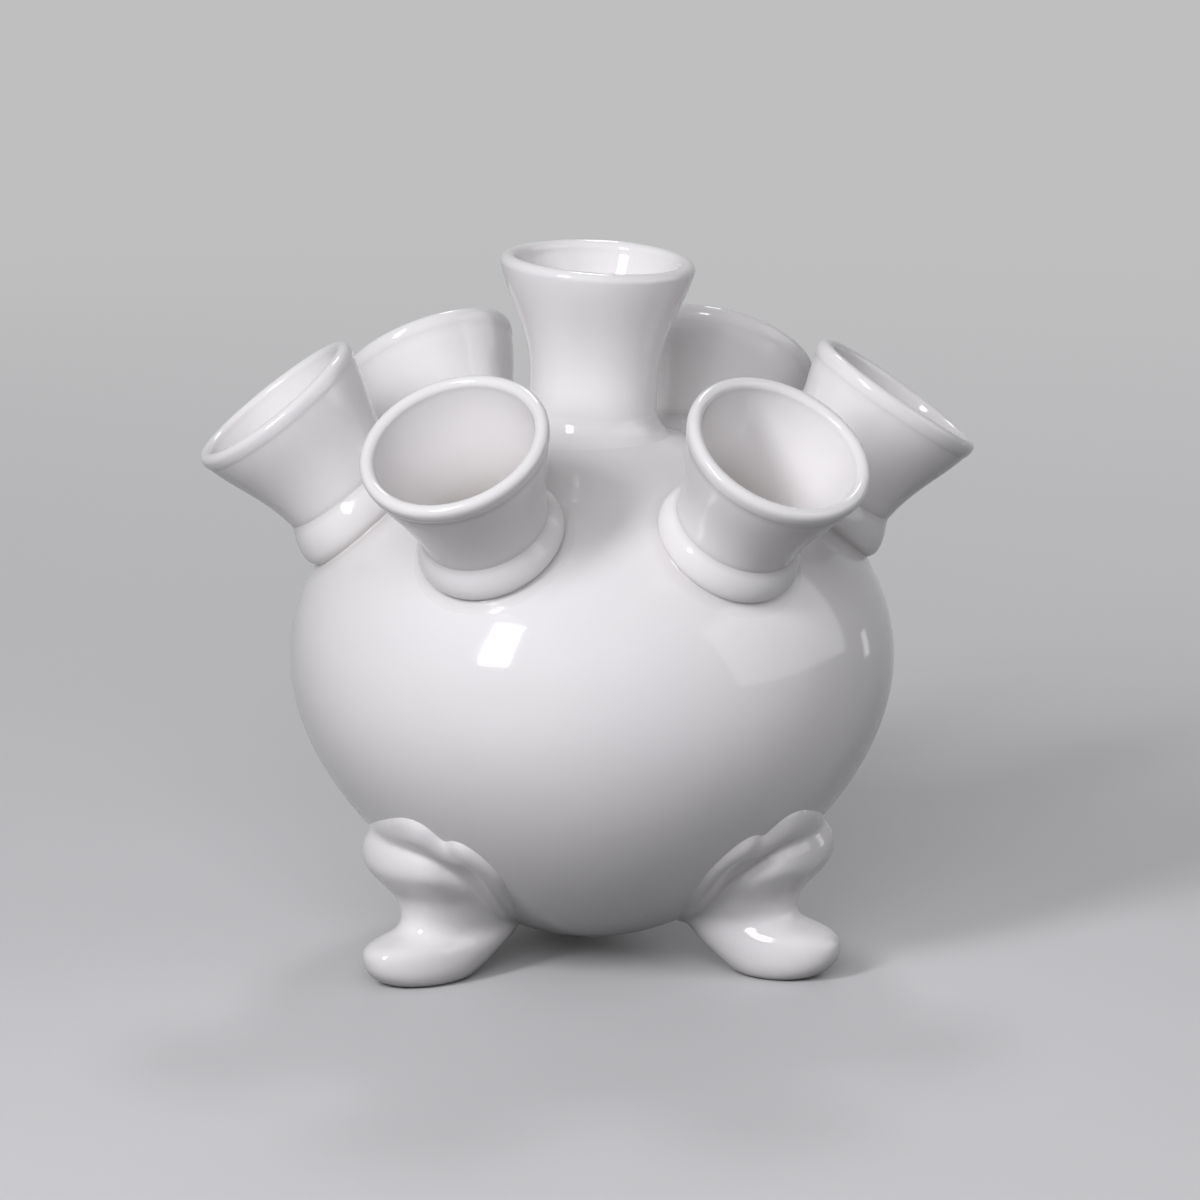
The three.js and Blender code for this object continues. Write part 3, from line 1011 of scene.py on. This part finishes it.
def leaf():
    bm = bmesh.new()
    bmesh.ops.create_grid(bm, x_segments=150, y_segments=130, size=1)
    for corner in bm.verts:
        bearing = SHEET_BEARING * corner.co.x
        latitude = SHEET_MIDDLE + SHEET_HEIGHT * corner.co.y
        depth = inside_leaf(on_paper(bearing, latitude))
        fill = LEAF_FILL * bump(latitude, *FILLED) * min(1, max(0, depth) / FILL_FADE)
        rise = leaf_rise(depth) + fill
        radius, height = egg(math.radians(latitude), rise)
        turn = math.radians(bearing)
        corner.co = (radius * math.sin(turn), -radius * math.cos(turn), height)
    sheet = bmesh.ops.extrude_face_region(bm, geom=list(bm.faces))
    for part in sheet["geom"]:
        if isinstance(part, bmesh.types.BMVert):
            off, out = above_egg(part.co)
            part.co -= out * (off + LEAF_BACK)
    bmesh.ops.recalc_face_normals(bm, faces=bm.faces)
    return bm


leaf_mesh = bpy.data.meshes.new("leaf")
leaf_bm = leaf()
leaf_bm.to_mesh(leaf_mesh)
leaf_bm.free()
print("leaf:", len(leaf_mesh.polygons), "faces")

# %% [markdown]
# ## Leg and leaf in one
# The potter smooths the leaf into the leg with a sponge, and the glaze rounds what is
# left. Here both are melted into one skin with a voxel remesh and rubbed smooth, because
# two separate shells would show a hard seam. What ends up inside the globe is laid just
# under its skin. The new skin is then read for hollows and ridges, so that the glaze
# knows where to gather and where painted shade darkens the hollows.

# %% Melt leg and leaf together
MELT = 0.42
RUBS = 24
SUNK = -1.6


def melted(bm):
    """One skin round everything in the bmesh, at the fineness of MELT."""
    mesh = bpy.data.meshes.new("melt")
    bm.to_mesh(mesh)
    bm.free()
    lump = bpy.data.objects.new("melt", mesh)
    bpy.context.scene.collection.objects.link(lump)
    remesh = lump.modifiers.new("melt", "REMESH")
    remesh.mode, remesh.voxel_size = "VOXEL", MELT
    graph = bpy.context.evaluated_depsgraph_get()
    result = bmesh.new()
    result.from_mesh(lump.evaluated_get(graph).to_mesh())
    bpy.data.objects.remove(lump)
    bpy.data.meshes.remove(mesh)
    return result


def rubbed(bm):
    """Smooth the skin, keep the sole flat and lay what is inside the globe against it."""
    for _ in range(RUBS):
        bmesh.ops.smooth_vert(
            bm, verts=bm.verts, factor=0.5, use_axis_x=True, use_axis_y=True, use_axis_z=True
        )
    for corner in bm.verts:
        off, out = above_egg(corner.co)
        if off < SUNK:
            corner.co += out * (SUNK - off)
        corner.co.z = max(0.0, corner.co.z)
    bmesh.ops.recalc_face_normals(bm, faces=bm.faces)


print("melted at", MELT, "mm")

# %% Mark the creases and hand in the feet
CREASE_EVENED = 6
CREASE_GAIN = 3.0


def mark_creases(bm):
    """Hollows get gathered glaze and painted shade, ridges thin glaze, by the skin's bend."""
    pool_and_shade = bm.verts.layers.float.new("pool_and_shade")
    bm.normal_update()
    bends = {}
    for corner in bm.verts:
        around = [edge.other_vert(corner).co for edge in corner.link_edges]
        middle = sum(around, Vector()) / len(around)
        bends[corner] = (middle - corner.co).dot(corner.normal) / MELT**2
    for _ in range(CREASE_EVENED):
        bends = {
            corner: sum(bends[edge.other_vert(corner)] for edge in corner.link_edges)
            / len(corner.link_edges)
            for corner in bm.verts
        }
    for corner, bend in bends.items():
        corner[pool_and_shade] = max(-1.0, min(1.0, CREASE_GAIN * bend))


for name, (bearing, droop, heel, toe, side) in FEET.items():
    bm = leg(droop, heel, toe)
    bm.from_mesh(leaf_mesh)
    bm = melted(bm)
    rubbed(bm)
    mark_creases(bm)
    if side < 0:
        bm.transform(Matrix.Diagonal((-1, 1, 1, 1)))
        bmesh.ops.reverse_faces(bm, faces=bm.faces)
    bm.transform(Matrix.Rotation(math.radians(bearing), 4, "Z"))
    hand_in(f"scroll_foot_{name}", bm, f"foot_{name}")
bpy.data.meshes.remove(leaf_mesh)

# %% [markdown]
# ## The size
# The dressed vase's box is printed beside the measured one's.

# %% Print the sizes
dressed_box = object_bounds()
boxes = {"cad": [list(c) for c in cad_box], "visual": [list(c) for c in dressed_box]}
for name, box in boxes.items():
    print(name, [[round(value / MM, 1) for value in corner] for corner in box])
